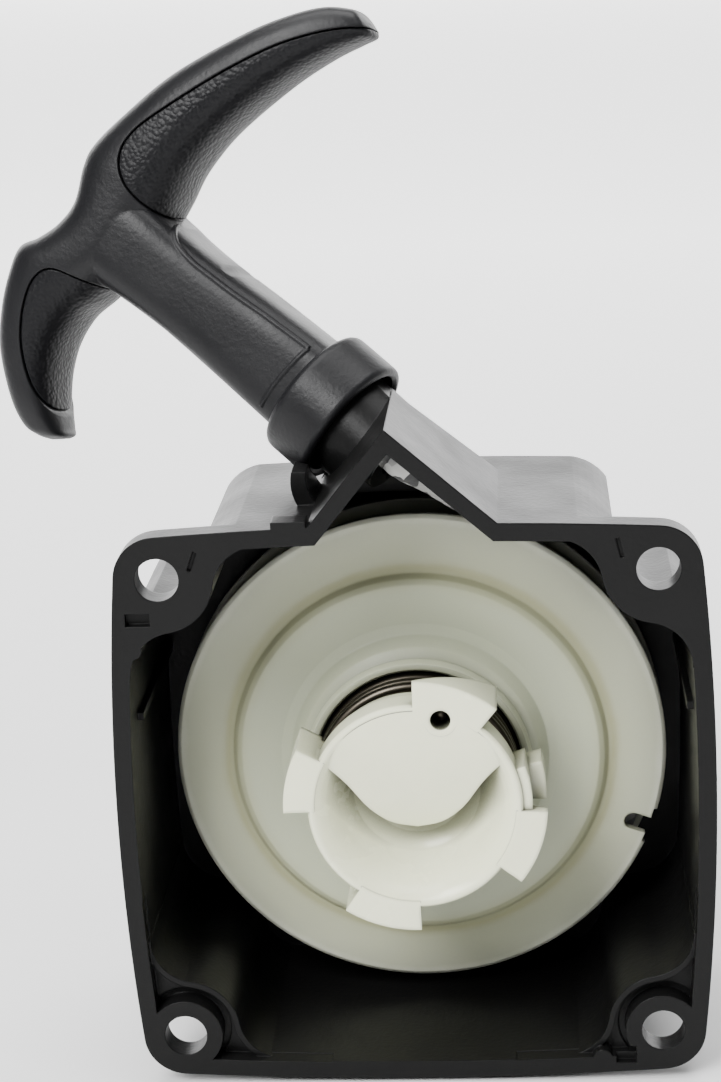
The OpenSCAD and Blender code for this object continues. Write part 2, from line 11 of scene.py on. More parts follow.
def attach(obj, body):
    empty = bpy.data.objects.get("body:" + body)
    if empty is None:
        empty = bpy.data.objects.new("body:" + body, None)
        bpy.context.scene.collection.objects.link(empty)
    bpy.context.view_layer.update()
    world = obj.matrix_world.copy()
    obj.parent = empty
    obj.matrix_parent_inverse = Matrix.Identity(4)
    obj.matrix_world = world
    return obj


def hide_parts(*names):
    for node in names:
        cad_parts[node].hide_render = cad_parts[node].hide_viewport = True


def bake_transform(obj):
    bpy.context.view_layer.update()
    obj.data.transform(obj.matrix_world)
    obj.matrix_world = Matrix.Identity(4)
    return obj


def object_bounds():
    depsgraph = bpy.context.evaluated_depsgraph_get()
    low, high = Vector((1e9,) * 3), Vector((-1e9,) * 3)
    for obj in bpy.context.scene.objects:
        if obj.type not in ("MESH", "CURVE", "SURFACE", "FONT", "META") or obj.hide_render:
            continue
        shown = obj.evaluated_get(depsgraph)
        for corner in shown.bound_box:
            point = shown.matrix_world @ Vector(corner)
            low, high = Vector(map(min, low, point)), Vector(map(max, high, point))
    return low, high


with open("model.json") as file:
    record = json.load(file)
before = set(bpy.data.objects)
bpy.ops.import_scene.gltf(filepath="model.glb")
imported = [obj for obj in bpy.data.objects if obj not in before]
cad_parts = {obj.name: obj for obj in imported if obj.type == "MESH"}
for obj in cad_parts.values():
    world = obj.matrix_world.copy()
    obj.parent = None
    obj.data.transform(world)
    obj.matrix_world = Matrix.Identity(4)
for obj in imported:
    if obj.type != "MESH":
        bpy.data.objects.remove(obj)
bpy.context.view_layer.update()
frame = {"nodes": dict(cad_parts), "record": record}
nodes = frame["nodes"]

# Lengths are in mm up to make_mesh, and in metres in the studio and the shaders
MM = 0.001

# ---------------------------------------------------------------- handle frame
PULL_ANGLE = math.radians(38.5)         # the pull axis above the horizontal, seen from the front
PULL_LEAN = math.radians(22)            # and leaning away from the engine
GUIDE = np.array([-6.3, 21.6, 44.3])    # where the rope leaves the duct
TAIL_V = 5.6                            # where the handle's stretch of rope begins
KNOT_V = 30.0                           # the knot in the handle


def on_pull(points):
    """Points of the handle's frame (u, depth, v), in mm, to the row frame in mm."""
    points = np.atleast_2d(np.asarray(points, float))
    u, depth, v = points[:, 0], points[:, 1], points[:, 2]
    cos_lean, sin_lean = math.cos(PULL_LEAN), math.sin(PULL_LEAN)
    turn = PULL_ANGLE - math.pi / 2
    y, along = depth * cos_lean + v * sin_lean, v * cos_lean - depth * sin_lean
    x = u * math.cos(turn) + along * math.sin(turn)
    z = along * math.cos(turn) - u * math.sin(turn)
    return GUIDE + np.stack([x, y, z], 1)


# ---------------------------------------------------------------- mesh helpers
def make_mesh(name, verts_mm, faces, smooth=True):
    mesh = bpy.data.meshes.new(name)
    mesh.from_pydata([tuple(float(c) * MM for c in v) for v in verts_mm], [], faces)
    mesh.validate()
    for poly in mesh.polygons:
        poly.use_smooth = smooth
    obj = bpy.data.objects.new(name, mesh)
    bpy.context.scene.collection.objects.link(obj)
    return obj


def grid_faces(rows, cols, closed_cols=True):
    """Quads between rows of points; closed_cols joins each row's last point to its first."""
    faces = []
    last = cols if closed_cols else cols - 1
    for i in range(rows - 1):
        for j in range(last):
            k = (j + 1) % cols
            faces.append((i * cols + j, i * cols + k, (i + 1) * cols + k, (i + 1) * cols + j))
    return faces


def capped(rows, cols):
    """The faces of a closed tube: its wall and one face at each end."""
    faces = grid_faces(rows, cols)
    faces.append(tuple(range(cols - 1, -1, -1)))
    faces.append(tuple((rows - 1) * cols + j for j in range(cols)))
    return faces


def fix_normals(obj):
    bm = bmesh.new()
    bm.from_mesh(obj.data)
    bmesh.ops.recalc_face_normals(bm, faces=bm.faces)
    bm.to_mesh(obj.data)
    bm.free()
    return obj


def curve_point(a, b, c, d, s):
    """The point at share s of the way from b to c on a Catmull-Rom curve through a, b, c and d."""
    linear, square, cube = c - a, 2 * a - 5 * b + 4 * c - d, 3 * b - a - 3 * c + d
    return 0.5 * (2 * b + linear * s + square * s * s + cube * s ** 3)


def curve_through(extended, per_span):
    """The curve through all rows but the first and the last, which only steer its ends."""
    out = []
    for i in range(1, len(extended) - 2):
        for s in np.linspace(0, 1, per_span, endpoint=False):
            out.append(curve_point(*extended[i - 1:i + 3], s))
    out.append(extended[-2])
    return np.array(out)


FINE = 40               # points per span, before the path is sampled evenly


def smooth_path(points, step):
    """A smooth path through the points, sampled about every step mm, and the length up to each sample."""
    pts = np.asarray(points, float)
    fine = curve_through(np.vstack([2 * pts[0] - pts[1], pts, 2 * pts[-1] - pts[-2]]), FINE)
    length = np.concatenate([[0], np.cumsum(np.linalg.norm(np.diff(fine, axis=0), axis=1))])
    n = max(2, int(round(length[-1] / step)) + 1)
    at = np.linspace(0, length[-1], n)
    return np.stack([np.interp(at, length, fine[:, k]) for k in range(3)], 1), at


def sides_along(path):
    """Two side vectors at each point of the path, which don't twist along it."""
    t = np.gradient(path, axis=0)
    t /= np.linalg.norm(t, axis=1)[:, None]
    side = np.cross(t[0], [0.0, 0.0, 1.0])
    if np.linalg.norm(side) < 0.1:
        side = np.cross(t[0], [0.0, 1.0, 0.0])
    side /= np.linalg.norm(side)
    a = np.zeros_like(path)
    for i in range(len(path)):
        side = side - t[i] * (side @ t[i])
        side /= np.linalg.norm(side)
        a[i] = side
    return a, np.cross(t, a)


def circle(sides):
    return np.arange(sides) * 2 * math.pi / sides


def squarish(sides, power):
    """Cosine and sine round a circle; a power under 1 makes a rounded square of it."""
    c, s = np.cos(circle(sides)), np.sin(circle(sides))
    return np.sign(c) * np.abs(c) ** power, np.sign(s) * np.abs(s) ** power


STRANDS = 4             # strands each way round the rope
LAY = 11.0              # mm of rope in which a strand goes once round
UNDER = 0.6             # height of a strand that passes under another, as a share


def braided(ang, at):
    """How high the woven strands stand, from -UNDER to 1, at each angle and length."""
    turn = 2 * math.pi / LAY
    one = np.cos(STRANDS * (ang[None, :] + turn * at[:, None]))
    two = np.cos(STRANDS * (ang[None, :] - turn * at[:, None]))
    over = np.sign(np.sin(STRANDS * ang[None, :]) * np.sin(STRANDS * turn * at[:, None]))
    high = np.where(over > 0, np.maximum(one, UNDER * two), np.maximum(two, UNDER * one))
    return np.clip(high, -UNDER, 1.0)


def tube(name, points, radius, sides, step, braid=0.0):
    """A round tube along the points; braid is the depth of a rope's woven strands."""
    path, at = smooth_path(points, step)
    a, b = sides_along(path)
    ang = circle(sides)
    r = np.full((len(path), sides), float(radius))
    if braid:
        r = r - braid + braid * braided(ang, at)
    outward = np.cos(ang)[None, :, None] * a[:, None, :] + np.sin(ang)[None, :, None] * b[:, None, :]
    rings = path[:, None, :] + r[..., None] * outward
    return fix_normals(make_mesh(name, rings.reshape(-1, 3), capped(len(path), sides)))


# ---------------------------------------------------------------- materials
CREASE_SHADE_REACH = 4 * MM   # how far the painted shade of a crease reaches round it
GRAIN_DEPTH = 0.2 * MM
HIDE_DEPTH = 0.3 * MM


def clear(mat):
    """Empties the material's nodes and returns them with a new shader."""
    mat.use_nodes = True
    nt = mat.node_tree
    nt.nodes.clear()
    out = nt.nodes.new("ShaderNodeOutputMaterial")
    bsdf = nt.nodes.new("ShaderNodeBsdfPrincipled")
    nt.links.new(bsdf.outputs["BSDF"], out.inputs["Surface"])
    return nt, bsdf


def node(nt, kind, **values):
    """A new node; _name sets its own setting and Some__Name its input called Some Name."""
    n = nt.nodes.new(kind)
    for key, value in values.items():
        if key.startswith("_"):
            setattr(n, key[1:], value)
        else:
            n.inputs[key.replace("__", " ")].default_value = value
    return n


def texture(nt, kind, **values):
    """A node with a Vector input, which reads places in the object's own space."""
    tex = node(nt, kind, **values)
    nt.links.new(node(nt, "ShaderNodeTexCoord").outputs["Object"], tex.inputs["Vector"])
    return tex


def color_ramp(nt, source, stops):
    """A ramp of (place, colour) stops, driven by the source socket."""
    ramp = node(nt, "ShaderNodeValToRGB")
    elements = ramp.color_ramp.elements
    elements[0].position, elements[0].color = stops[0][0], (*stops[0][1], 1)
    elements[1].position, elements[1].color = stops[-1][0], (*stops[-1][1], 1)
    for place, color in stops[1:-1]:
        middle = elements.new(place)
        middle.color = (*color, 1)
    nt.links.new(source, ramp.inputs["Fac"])
    return ramp


def bump(nt, height, under, strength, depth):
    """A bump from the height socket, laid over the normal socket under, if there is one."""
    relief = node(nt, "ShaderNodeBump", Strength=strength, Distance=depth)
    nt.links.new(height, relief.inputs["Height"])
    if under:
        nt.links.new(under, relief.inputs["Normal"])
    return relief


def smeared_roughness(nt, bsdf, rough, by):
    smear = texture(nt, "ShaderNodeTexNoise", Scale=90.0, Detail=4.0, Roughness=0.6)
    rng = node(nt, "ShaderNodeMapRange", From__Min=0.3, From__Max=0.7,
               To__Min=max(0.03, rough - by), To__Max=min(1.0, rough + by))
    nt.links.new(smear.outputs["Fac"], rng.inputs["Value"])
    nt.links.new(rng.outputs["Result"], bsdf.inputs["Roughness"])


def clouded_color(nt, bsdf, color, by):
    cloud = texture(nt, "ShaderNodeTexNoise", Scale=60.0, Detail=5.0, Roughness=0.65)
    darker = [c * (1 - by) for c in color]
    lighter = [min(1, c * (1 + by)) for c in color]
    ramp = color_ramp(nt, cloud.outputs["Fac"], [(0.35, darker), (0.65, lighter)])
    nt.links.new(ramp.outputs["Color"], bsdf.inputs["Base Color"])


def paint_crease_shade(nt, bsdf, strength):
    """Paints shade into the base colour, which is already linked, where surfaces come close together."""
    near = node(nt, "ShaderNodeAmbientOcclusion", Distance=CREASE_SHADE_REACH, _samples=8)
    dark = node(nt, "ShaderNodeMath", _operation="POWER")
    dark.inputs[1].default_value = strength
    shade = node(nt, "ShaderNodeMixRGB", _blend_type="MULTIPLY", Fac=1.0)
    nt.links.new(near.outputs["AO"], dark.inputs[0])
    nt.links.new(dark.outputs["Value"], shade.inputs["Color2"])
    nt.links.new(bsdf.inputs["Base Color"].links[0].from_socket, shade.inputs["Color1"])
    nt.links.new(shade.outputs["Color"], bsdf.inputs["Base Color"])


def pebbled(nt, under, strength):
    """The fine leather skin of the soft inserts, as a normal socket."""
    cells = node(nt, "ShaderNodeTexVoronoi", Scale=1700.0, _feature="SMOOTH_F1", Smoothness=0.35)
    warp = texture(nt, "ShaderNodeTexNoise", Scale=400.0, Detail=3.0)
    mix = node(nt, "ShaderNodeMixRGB", _blend_type="LINEAR_LIGHT", Fac=0.0004)
    nt.links.new(node(nt, "ShaderNodeTexCoord").outputs["Object"], mix.inputs["Color1"])
    nt.links.new(warp.outputs["Color"], mix.inputs["Color2"])
    nt.links.new(mix.outputs["Color"], cells.inputs["Vector"])
    hide = bump(nt, cells.outputs["Distance"], under, strength, HIDE_DEPTH)
    hide.invert = True
    return hide.outputs["Normal"]


def grained(nt, under, strength, scale):
    """Fine moulded grain, as a normal socket."""
    fine = texture(nt, "ShaderNodeTexNoise", Scale=scale, Detail=3.0, Roughness=0.55)
    return bump(nt, fine.outputs["Fac"], under, strength, GRAIN_DEPTH).outputs["Normal"]


def plastic(name, color, rough, bevel=0.25, spec=0.5, metallic=0.0, coat=0.0, vary=0.0, rough_vary=0.06,
            sss=0.0, sss_radius=(1, 1, 1), sss_scale=0.002, crease_shade=0.0, leather=0.0, grain=0.0,
            grain_scale=900.0):
    """A moulded or metal surface; bevel is the rounding of its edges in mm. The painted shade in creases
    needs vary.
    """
    mat = bpy.data.materials.new(name)
    nt, bsdf = clear(mat)
    settings = {"Base Color": (*color, 1), "Roughness": rough, "Metallic": metallic,
                "Specular IOR Level": spec}
    if coat:
        settings.update({"Coat Weight": coat, "Coat Roughness": 0.12})
    if sss:
        settings.update({"Subsurface Weight": sss, "Subsurface Radius": sss_radius,
                         "Subsurface Scale": sss_scale})
    for socket, value in settings.items():
        bsdf.inputs[socket].default_value = value
    normal = None
    if bevel:
        normal = node(nt, "ShaderNodeBevel", Radius=bevel * MM, _samples=6).outputs["Normal"]
    if rough_vary:
        smeared_roughness(nt, bsdf, rough, rough_vary)
    if vary:
        clouded_color(nt, bsdf, color, vary)
    # painted shade: darker base colour where surfaces come close together
    if crease_shade:
        paint_crease_shade(nt, bsdf, crease_shade)
    if leather:
        normal = pebbled(nt, normal, leather)
    if grain:
        normal = grained(nt, normal, grain, grain_scale)
    if normal:
        nt.links.new(normal, bsdf.inputs["Normal"])
    return mat


def rope_material():
    """Light grey braid with a few dark flecks."""
    mat = bpy.data.materials.new("rope_braid")
    nt, bsdf = clear(mat)
    bsdf.inputs["Roughness"].default_value = 0.75
    bsdf.inputs["Sheen Weight"].default_value = 0.2
    fleck = texture(nt, "ShaderNodeTexVoronoi", Scale=620.0, Randomness=1.0)
    red = node(nt, "ShaderNodeSeparateColor")
    nt.links.new(fleck.outputs["Color"], red.inputs["Color"])
    ramp = color_ramp(nt, red.outputs["Red"], [
        (0.0, (0.06, 0.06, 0.062)), (0.16, (0.62, 0.62, 0.60)), (0.6, (0.42, 0.42, 0.41))])
    ramp.color_ramp.interpolation = "CONSTANT"
    nt.links.new(ramp.outputs["Color"], bsdf.inputs["Base Color"])
    fibre = texture(nt, "ShaderNodeTexNoise", Scale=2600.0, Detail=2.0)
    relief = bump(nt, fibre.outputs["Fac"], None, 0.35, GRAIN_DEPTH)
    nt.links.new(relief.outputs["Normal"], bsdf.inputs["Normal"])
    return mat


# The reel's tone from its hub, at 0, to its edge, at 1
REEL_TONES = [(0.0, (0.60, 0.62, 0.45)), (0.25, (0.50, 0.53, 0.38)), (0.52, (0.50, 0.53, 0.38)),
              (0.66, (0.45, 0.45, 0.27)), (0.72, (0.52, 0.54, 0.38)), (0.93, (0.58, 0.60, 0.45)),
              (1.0, (0.80, 0.81, 0.68))]
TONE_FROM, TONE_TO = 12.5 * MM, 33.7 * MM
TONE_WANDER = 1.4 * MM


def nylon_material():
    """Translucent nylon whose tone follows the distance from the reel's axis, with painted shade where
    surfaces come close.
    """
    mat = plastic("natural_nylon", (0.60, 0.62, 0.46), 0.42, bevel=0.5, sss=0.2,
                  sss_radius=(1.0, 0.95, 0.7), sss_scale=0.003, grain=0.12, grain_scale=500.0)
    nt = mat.node_tree
    bsdf = next(n for n in nt.nodes if n.type == "BSDF_PRINCIPLED")
    link = nt.links.new
    flat = node(nt, "ShaderNodeVectorMath", _operation="MULTIPLY")
    flat.inputs[1].default_value = (1, 0, 1)
    size = node(nt, "ShaderNodeVectorMath", _operation="LENGTH")
    link(node(nt, "ShaderNodeTexCoord").outputs["Object"], flat.inputs[0])
    link(flat.outputs["Vector"], size.inputs[0])
    cloud = texture(nt, "ShaderNodeTexNoise", Scale=140.0, Detail=5.0, Roughness=0.6)
    wander = node(nt, "ShaderNodeMath", _operation="MULTIPLY_ADD")
    wander.inputs[1].default_value = TONE_WANDER
    link(cloud.outputs["Fac"], wander.inputs[0])
    link(size.outputs["Value"], wander.inputs[2])
    rng = node(nt, "ShaderNodeMapRange", From__Min=TONE_FROM, From__Max=TONE_TO)
    link(wander.outputs["Value"], rng.inputs["Value"])
    ramp = color_ramp(nt, rng.outputs["Result"], REEL_TONES)
    # painted shade: the tone is darkened where surfaces come close together
    near = node(nt, "ShaderNodeAmbientOcclusion", Distance=8 * MM, _samples=8)
    shade = node(nt, "ShaderNodeMixRGB", _blend_type="MULTIPLY", Fac=0.9)
    link(ramp.outputs["Color"], shade.inputs["Color1"])
    link(near.outputs["AO"], shade.inputs["Color2"])
    link(shade.outputs["Color"], bsdf.inputs["Base Color"])
    return mat


MATS = {
    "black_plastic": plastic("black_plastic", (0.006, 0.006, 0.006), 0.34, bevel=0.3, spec=0.14,
                             grain=0.2, grain_scale=1400.0),
    "guide_plastic": plastic("guide_plastic", (0.006, 0.006, 0.007), 0.16, bevel=0.2, spec=0.4,
                             rough_vary=0.03),
    "natural_nylon": nylon_material(),
    # the cream plastic has painted shade in its creases
    "cream_plastic": plastic("cream_plastic", (0.92, 0.94, 0.68), 0.24, bevel=0.8, coat=0.2, vary=0.03,
                             sss=0.1, sss_radius=(1.0, 0.95, 0.75), sss_scale=0.001, crease_shade=1.5),
    "rope": rope_material(),
    "spring_steel": plastic("spring_steel", (0.075, 0.066, 0.052), 0.36, bevel=0, metallic=1.0, vary=0.25),
    "zinc_steel": plastic("zinc_steel", (0.60, 0.61, 0.63), 0.30, bevel=0.15, metallic=1.0),
    "brass": plastic("brass", (0.68, 0.50, 0.22), 0.28, bevel=0.15, metallic=1.0),
    "handle_plastic": plastic("handle_plastic", (0.007, 0.007, 0.008), 0.40, bevel=0.3, spec=0.25,
                              grain=0.25, grain_scale=1500.0),
    "soft_grip": plastic("soft_grip", (0.005, 0.005, 0.006), 0.40, bevel=0.2, spec=0.18,
                         rough_vary=0.04, leather=0.3),
}


def dress(obj, slot):
    obj.data.materials.clear()
    obj.data.materials.append(MATS[slot])


slot_of = {s["node"]: s["material_slot"] for s in frame["record"]["subparts"]}
for name, obj in nodes.items():
    dress(obj, slot_of[name])

# ---------------------------------------------------------------- handle
# Cross-sections from the upper arm's tip to the lower one's: outer u, v, inner u, v, half thickness
STATIONS = np.array([
    [42.0, 33.4, 41.3, 30.8, 1.6], [41.9, 34.7, 40.5, 30.3, 3.4], [39.8, 38.0, 38.7, 31.4, 4.6],
    [35.9, 41.3, 34.7, 33.7, 5.6], [30.3, 44.8, 28.4, 36.3, 6.4], [20.9, 49.3, 19.2, 38.8, 7.2],
    [12.1, 51.7, 12.6, 39.3, 7.8], [6.7, 52.7, 7.9, 38.5, 8.0], [3.7, 52.2, 4.5, 38.1, 8.0],
    [-0.7, 50.2, -0.2, 37.9, 8.0], [-4.5, 50.3, -4.1, 38.1, 8.0],
    [-7.9, 51.6, -6.7, 38.8, 8.0], [-10.5, 53.1, -9.7, 39.5, 7.9], [-13.9, 52.3, -13.3, 40.4, 7.6],
    [-18.6, 50.2, -17.4, 40.0, 7.1], [-23.3, 46.9, -21.2, 38.3, 6.5], [-27.6, 41.7, -24.5, 35.7, 5.6],
    [-29.5, 38.1, -26.3, 33.5, 4.4], [-29.5, 35.7, -26.9, 32.5, 3.2], [-29.0, 34.1, -27.5, 32.5, 1.5]])
STATION_SPANS = 12      # rings between two cross-sections
GRIP_SIDES, GRIP_POWER = 112, 0.75
# The shaft from the collar into the grip: v, half width, half thickness, middle u
SHAFT = [(8.95, 6.6, 6.1, 0.0), (20.0, 6.2, 6.5, -0.1), (28.0, 5.9, 6.9, -0.3), (34.0, 6.0, 7.3, -0.5),
         (39.0, 6.4, 7.7, -0.6), (44.0, 6.6, 7.9, -0.6)]
SHAFT_SIDES, SHAFT_POWER = 96, 0.5
# Front-view outlines (u, v) of the two soft inserts
UPPER_INSERT = [(43, 26), (40.6, 31.8), (34, 37.6), (26.4, 41.8), (17.8, 45.4), (12.3, 47.2), (8.7, 46.8),
                (6.3, 44.2), (5.4, 40), (5.6, 36.4), (7.6, 32.6), (8, 24)]
LOWER_INSERT = [(-25.4, 24), (-25.8, 30.4), (-25.2, 35.1), (-23.4, 39.3), (-20, 43.2), (-16.1, 45.7),
                (-12, 46.8), (-9.2, 45.6), (-7.8, 41.5), (-7, 36.5), (-7.4, 24)]
OUTLINE_SPANS = 8
INSERT_GAP = 0.12       # the seam round an insert, on either side of its outline
INSERT_SINK = 0.22      # how far the inserts lie below the moulding's surface
CORE_SINK = 1.2         # the moulding's surface under the inserts
CUT_REACH = 20.0        # deeper than the handle, to either side
# The raised bead along the shaft and the line at its foot, as front-view points (u, v)
BEAD = [(5.0, 10.6), (4.8, 14.1), (4.5, 18.6), (4.1, 23.1), (3.9, 27), (3.8, 30.3), (4.3, 33.6), (5.5, 36)]
FOOT = [(-4.9, 11.1), (-0.8, 11.2), (2.8, 10.9), (5.0, 10.6)]
BEAD_R, FOOT_R = 0.36, 0.3
BEAD_SINK = 0.16
BEAD_SIDES, BEAD_STEP = 16, 0.5
SHARP_ANGLE = math.radians(35)


def stations_between(stations):
    return curve_through(np.vstack([stations[0], stations, stations[-1]]), STATION_SPANS)


def grip_mesh(name, shrink):
    """The whole grip in the handle's frame, with its surface moved inward by shrink mm."""
    st = stations_between(STATIONS)
    outer, inner = st[:, 0:2], st[:, 2:4]
    mid, across = (outer + inner) / 2, (inner - outer) / 2
    half = np.linalg.norm(across, axis=1)
    across /= half[:, None]
    c, s = squarish(GRIP_SIDES, GRIP_POWER)
    w, h = np.maximum(half - shrink, 0.3), np.maximum(st[:, 4] - shrink, 0.3)
    u = mid[:, 0, None] + across[:, 0, None] * w[:, None] * c
    v = mid[:, 1, None] + across[:, 1, None] * w[:, None] * c
    rings = np.stack([u, h[:, None] * s, v], -1)
    return fix_normals(make_mesh(name, rings.reshape(-1, 3), capped(len(st), GRIP_SIDES)))


def shaft_mesh():
    """The shaft: a rounded bar that widens into the grip."""
    st = stations_between(np.array(SHAFT))
    c, s = squarish(SHAFT_SIDES, SHAFT_POWER)
    rows = [np.stack([mid + w * c, h * s, np.full(SHAFT_SIDES, v)], 1) for v, w, h, mid in st]
    return fix_normals(make_mesh("shaft", np.concatenate(rows), capped(len(st), SHAFT_SIDES)))


def rounded(points):
    """A closed smooth outline through the points."""
    pts = np.array(points, float)
    n = len(pts)
    out = []
    for i in range(n):
        for s in np.linspace(0, 1, OUTLINE_SPANS, endpoint=False):
            out.append(curve_point(pts[i - 1], pts[i], pts[(i + 1) % n], pts[(i + 2) % n], s))
    return np.array(out)


def grown(outline, by):
    """The outline moved outward by that many mm."""
    nxt, prev = np.roll(outline, -1, 0), np.roll(outline, 1, 0)
    t = nxt - prev
    t /= np.linalg.norm(t, axis=1)[:, None] + 1e-9
    area = np.sum(outline[:, 0] * nxt[:, 1] - nxt[:, 0] * outline[:, 1])
    out = np.stack([t[:, 1], -t[:, 0]], 1) * (1 if area > 0 else -1)
    return outline + out * by


def prism(name, outline):
    """The outline drawn out from front to back, right through the handle."""
    n = len(outline)
    v = [(u, -CUT_REACH, w) for u, w in outline] + [(u, CUT_REACH, w) for u, w in outline]
    faces = [(i, (i + 1) % n, n + (i + 1) % n, n + i) for i in range(n)]
    faces += [tuple(range(n - 1, -1, -1)), tuple(range(n, 2 * n))]
    return fix_normals(make_mesh(name, v, faces, False))


def boolean(target, tool, operation):
    mod = target.modifiers.new("cut", "BOOLEAN")
    mod.operation, mod.object, mod.solver = operation, tool, "EXACT"
    bpy.context.view_layer.update()
    dg = bpy.context.evaluated_depsgraph_get()
    mesh = bpy.data.meshes.new_from_object(target.evaluated_get(dg))
    target.modifiers.clear()
    old = target.data
    target.data = mesh
    bpy.data.meshes.remove(old)
    bpy.data.objects.remove(tool)
    return target


def join(target, others):
    bpy.ops.object.select_all(action="DESELECT")
    for o in others:
        o.select_set(True)
    target.select_set(True)
    bpy.context.view_layer.objects.active = target
    bpy.ops.object.join()


def to_row(obj):
    """Moves a mesh made in the handle's frame to the row frame."""
    co = np.array([v.co for v in obj.data.vertices], float).reshape(-1, 3) / MM
    obj.data.vertices.foreach_set("co", (on_pull(co) * MM).astype(np.float32).ravel())
    obj.data.update()


def on_skin(points, skin):
    """Front-view points (u, v) laid on the front of the handle, sunk a little into it."""
    flat, _ = smooth_path([(u, 0, v) for u, v in points], BEAD_STEP)
    before = -0.03      # metres, in front of the handle
    out = []
    for u, _, v in flat:
        hit = skin.ray_cast(Vector((u * MM, before, v * MM)), Vector((0, 1, 0)))[0]
        if hit is not None:
            out.append((u, hit.y / MM + BEAD_SINK, v))
    return out


def moulding(upper, lower):
    """The hard part of the handle: grip and shaft, with a sunk bed for each insert."""
    body = grip_mesh("handle_moulding", 0.0)
    boolean(body, shaft_mesh(), "UNION")
    boolean(body, prism("cut_a", grown(upper, INSERT_GAP)), "DIFFERENCE")
    boolean(body, prism("cut_b", grown(lower, INSERT_GAP)), "DIFFERENCE")
    core = grip_mesh("core", CORE_SINK)
    corners = [v.co.copy() for v in body.data.vertices]
    skin = BVHTree.FromPolygons(corners, [tuple(p.vertices) for p in body.data.polygons])
    bead = tube("bead", on_skin(BEAD, skin), BEAD_R, BEAD_SIDES, BEAD_STEP)
    foot = tube("foot", on_skin(FOOT, skin), FOOT_R, BEAD_SIDES, BEAD_STEP)
    join(body, [core, bead, foot])
    return body


def insert(name, tool_name, outline):
    """One soft insert: the part of the sunk grip inside the outline."""
    tool = prism(tool_name, grown(outline, -INSERT_GAP))
    return boolean(grip_mesh(name, INSERT_SINK), tool, "INTERSECT")


upper, lower = rounded(UPPER_INSERT), rounded(LOWER_INSERT)
handle_pieces = [
    (moulding(upper, lower), "handle_plastic", "handle_body"),
    (insert("soft_insert_upper", "keep_a", upper), "soft_grip", "grip_upper"),
    (insert("soft_insert_lower", "keep_b", lower), "soft_grip", "grip_lower")]
for obj, slot_name, old in handle_pieces:
    to_row(obj)
    obj.data.set_sharp_from_angle(angle=SHARP_ANGLE)
    dress(obj, slot_name)
    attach(obj, "handle")
    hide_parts(old)

# ---------------------------------------------------------------- rope
ROPE_R, ROPE_SIDES, ROPE_STEP, ROPE_BRAID = 1.8, 40, 0.3, 0.13
RUN_R, RUN_Y = 29.7, 26.4       # the outermost turn on the reel
LEAVE = 50                      # degrees, where the rope leaves the reel
RUN_START = LEAVE - 150         # degrees, where rope_run begins on the reel
TO_DUCT = [(14.2, 26.2, 27.6), (9.6, 25.4, 31.6), (5.2, 23.2, 35.2), (2.2, 21.2, 37.7)]
PULL_STRETCH = (-7.4, -5, 1, TAIL_V, 10, 18, KNOT_V - 3.5)


def round_axis(radius, y, degrees):
    """The point at that radius and angle round the crank's axis."""
    a = math.radians(degrees)
    return (radius * math.cos(a), y, radius * math.sin(a))


route = [round_axis(RUN_R, RUN_Y, a) for a in range(RUN_START, LEAVE + 1, 15)]
route += TO_DUCT
route += [tuple(on_pull([0, 0, v])[0]) for v in PULL_STRETCH]
rope = tube("starter_rope", route, ROPE_R, ROPE_SIDES, ROPE_STEP, ROPE_BRAID)
dress(rope, "rope")
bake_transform(rope)
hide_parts("rope_run", "rope_tail")

# The turns under the outermost one: two layers, the inner first, which lead up to where rope_run begins
TURN_ROPE_R, TURN_SIDES, TURN_STEP, TURN_BRAID = 1.75, 32, 0.45, 0.12
LAYER_TURNS = 1.8
TURNS = 2 * LAYER_TURNS
TURN_POINTS = 180
INNER_R, LAYER_RISE = 22.4, 3.4
RISE_RATE = 18                  # how suddenly the rope climbs to the outer layer
FRONT_Y, LAYER_WIDTH = 25.1, 2.6
TURNS_GAP = 8                   # degrees between the turns and rope_run


def turn_point(k):
    turn = k / TURN_POINTS * TURNS
    layer = 0 if turn < LAYER_TURNS else 1
    part = (turn - LAYER_TURNS * layer) / LAYER_TURNS
    r = INNER_R + LAYER_RISE * (1 / (1 + math.exp(-(turn - LAYER_TURNS) * RISE_RATE)))
    y = FRONT_Y + LAYER_WIDTH * (part if layer == 0 else 1 - part)
    return round_axis(r, y, RUN_START - TURNS_GAP - 360 * (TURNS - turn))


coil = [turn_point(k) for k in range(TURN_POINTS + 1)]
winding = tube("rope_turns", coil, TURN_ROPE_R, TURN_SIDES, TURN_STEP, TURN_BRAID)
dress(winding, "rope")
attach(winding, "reel")
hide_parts("rope_winding")

# ---------------------------------------------------------------- damper spring
WIRE_R, WIRE_SIDES, WIRE_POINT_STEP = 0.75, 16, 0.8
COIL_R = 12.6
TANG, TANG_R = 73, 12.2         # the straight end that comes through the cup's rim
COIL_TURNS, COIL_STEP = 7, 15   # whole turns, and degrees between two points
COIL_START = TANG - 25
COIL_FRONT, COIL_BACK = 9.6, 21
TANG_BEND = [(0, 2.6, TANG_R), (0, 6.2, TANG_R), (8, 8.8, TANG_R + 0.2), (17, 9.5, COIL_R)]

coil_points = 360 // COIL_STEP * COIL_TURNS
spring = [round_axis(r, y, TANG - back) for back, y, r in TANG_BEND]
for i in range(coil_points + 1):
    depth = COIL_FRONT + i * (COIL_BACK - COIL_FRONT) / coil_points
    spring.append(round_axis(COIL_R, depth, COIL_START - i * COIL_STEP))
wire = tube("damper_coil", spring, WIRE_R, WIRE_SIDES, WIRE_POINT_STEP)
dress(wire, "spring_steel")
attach(wire, "reel")
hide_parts("damper_spring")

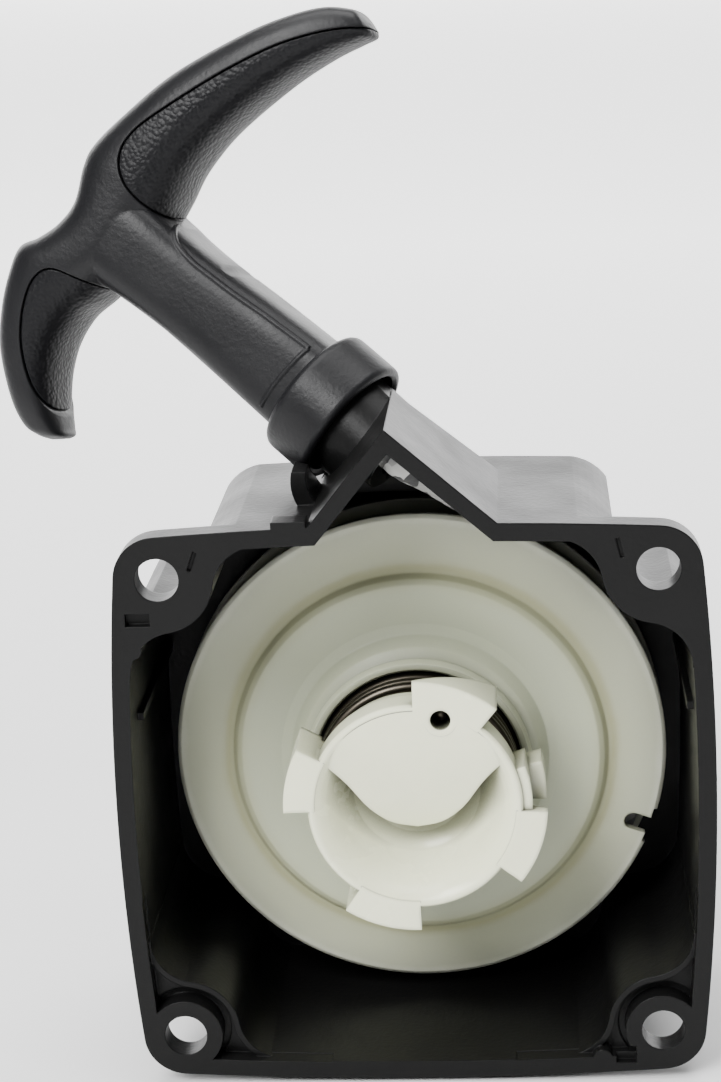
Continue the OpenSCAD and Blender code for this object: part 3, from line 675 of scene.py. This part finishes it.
# ---------------------------------------------------------------- studio, in metres
low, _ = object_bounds()
FLOOR = low.z - 0.0006
SWEEP_FRONT, SWEEP_FLAT_END = -1.5, 2.8
SWEEP_CURVE, SWEEP_WALL = 0.8, 2.0      # radius of the curve, height of the wall above it
SWEEP_HALF_W = 4
SWEEP_ROWS = 25
FLAT_SHARE, CURVE_SHARE = 0.4, 0.3      # shares of the rows; the wall has the rest
GLOW_FROM, GLOW_TO, GLOW = 0.12, 0.7, 1.6


def sweep_point(t):
    """(y, z) of the backdrop, from its front at t = 0 to the top of its wall at t = 1."""
    if t < FLAT_SHARE:
        return (SWEEP_FRONT + (SWEEP_FLAT_END - SWEEP_FRONT) * t / FLAT_SHARE, FLOOR)
    if t < FLAT_SHARE + CURVE_SHARE:
        a = (t - FLAT_SHARE) / CURVE_SHARE * math.pi / 2
        return (SWEEP_FLAT_END + SWEEP_CURVE * math.sin(a), FLOOR + SWEEP_CURVE * (1 - math.cos(a)))
    up = (t - FLAT_SHARE - CURVE_SHARE) / CURVE_SHARE
    return (SWEEP_FLAT_END + SWEEP_CURVE, FLOOR + SWEEP_CURVE + SWEEP_WALL * up)


def backdrop_material():
    """White that glows more and more behind the object, so that the background stays pale."""
    white = bpy.data.materials.new("backdrop_white")
    nt, bsdf = clear(white)
    bsdf.inputs["Base Color"].default_value = (0.9, 0.9, 0.9, 1)
    bsdf.inputs["Roughness"].default_value = 0.9
    bsdf.inputs["Emission Color"].default_value = (1, 1, 1, 1)
    split = texture(nt, "ShaderNodeSeparateXYZ")
    glow = node(nt, "ShaderNodeMapRange", From__Min=GLOW_FROM, From__Max=GLOW_TO,
                To__Min=0.0, To__Max=GLOW)
    nt.links.new(split.outputs["Y"], glow.inputs["Value"])
    nt.links.new(glow.outputs["Result"], bsdf.inputs["Emission Strength"])
    return white


def softbox(name, place, aim, size, power):
    data = bpy.data.lights.new(name, "AREA")
    data.shape, data.size, data.size_y, data.energy = "RECTANGLE", size[0], size[1], power
    obj = bpy.data.objects.new(name, data)
    bpy.context.scene.collection.objects.link(obj)
    obj.location = place
    obj.rotation_euler = (Vector(aim) - Vector(place)).to_track_quat("-Z", "Y").to_euler()
    obj.visible_camera = False


sweep = [sweep_point(k / (SWEEP_ROWS - 1)) for k in range(SWEEP_ROWS)]
sweep_verts = [(x / MM, y / MM, z / MM) for y, z in sweep for x in (-SWEEP_HALF_W, SWEEP_HALF_W)]
backdrop = make_mesh("backdrop", sweep_verts, grid_faces(SWEEP_ROWS, 2, False))
backdrop.data.materials.append(backdrop_material())

softbox("back_light", (0.13, 2.4, 0.62), (0, 0.02, 0.03), (4.5, 1.5), 40)
softbox("top_light", (0.0, 0.1, 0.9), (0, 0.02, 0.0), (0.9, 0.7), 13)
softbox("front_light", (-0.5, -0.75, 0.8), (0, 0.0, 0.0), (0.6, 0.6), 22)
world = bpy.data.worlds.new("studio")
bpy.context.scene.world = world
world.use_nodes = True
background = world.node_tree.nodes["Background"]
background.inputs["Color"].default_value = (1, 1, 1, 1)
background.inputs["Strength"].default_value = 0.25

# ---------------------------------------------------------------- camera, solved from the four bolt holes
CAMERA_PLACE = (0.0151256, -0.2992428, 0.1188848)
CAMERA_TURN = (1.2992371, 0.0411896, 0.0571293)
cam_data = bpy.data.cameras.new("camera")
cam_data.sensor_width = 36
cam_data.lens = 84.296
cam_data.clip_start, cam_data.clip_end = 0.01, 20
camera = bpy.data.objects.new("camera", cam_data)
bpy.context.scene.collection.objects.link(camera)
camera.location = CAMERA_PLACE
camera.rotation_euler = CAMERA_TURN
bpy.context.scene.camera = camera
